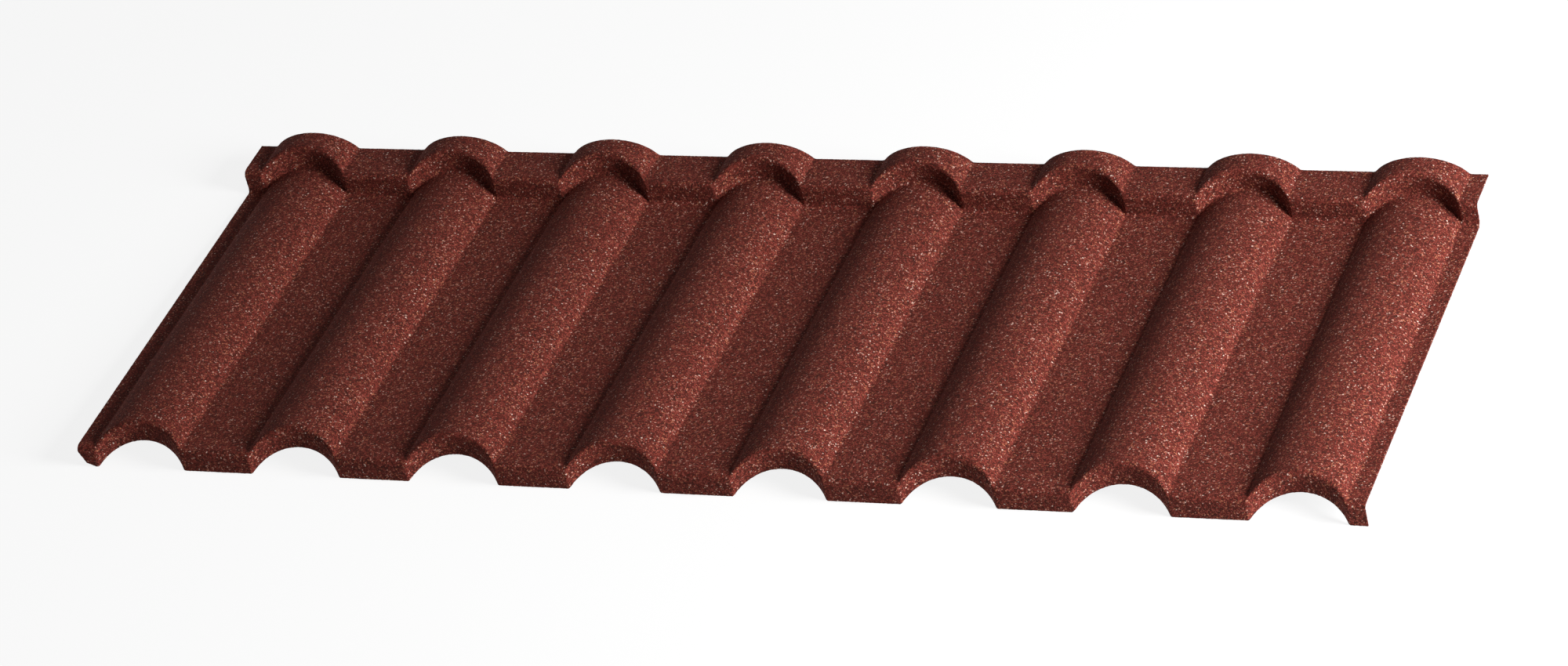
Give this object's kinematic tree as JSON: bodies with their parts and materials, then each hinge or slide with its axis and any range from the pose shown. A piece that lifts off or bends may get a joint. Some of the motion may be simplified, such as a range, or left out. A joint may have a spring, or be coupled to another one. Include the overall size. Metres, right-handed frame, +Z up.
{
  "type": "metal roofing sheet",
  "caption": "Pressed metal roofing sheet with a tile effect: flat pans and rounded rolls, a turned-down front lip, a riser and a flat back flange, coated in stone granules.",
  "frame": {"origin": "centre of the footprint on the floor that the sheet lies on, face up, resting on its front lip and on the foot of the riser", "axes": "+X along the length of the sheet, which is the length of the eaves; +Y towards the back flange, up the slope of the roof; +Z up"},
  "size_m": [1.1154, 0.4124, 0.0371],
  "materials": {
    "stone_coat": "matt stone granule coat"
  },
  "bodies": {
    "root": {"roofing_sheet": "stone_coat"}
  },
  "joints": []
}
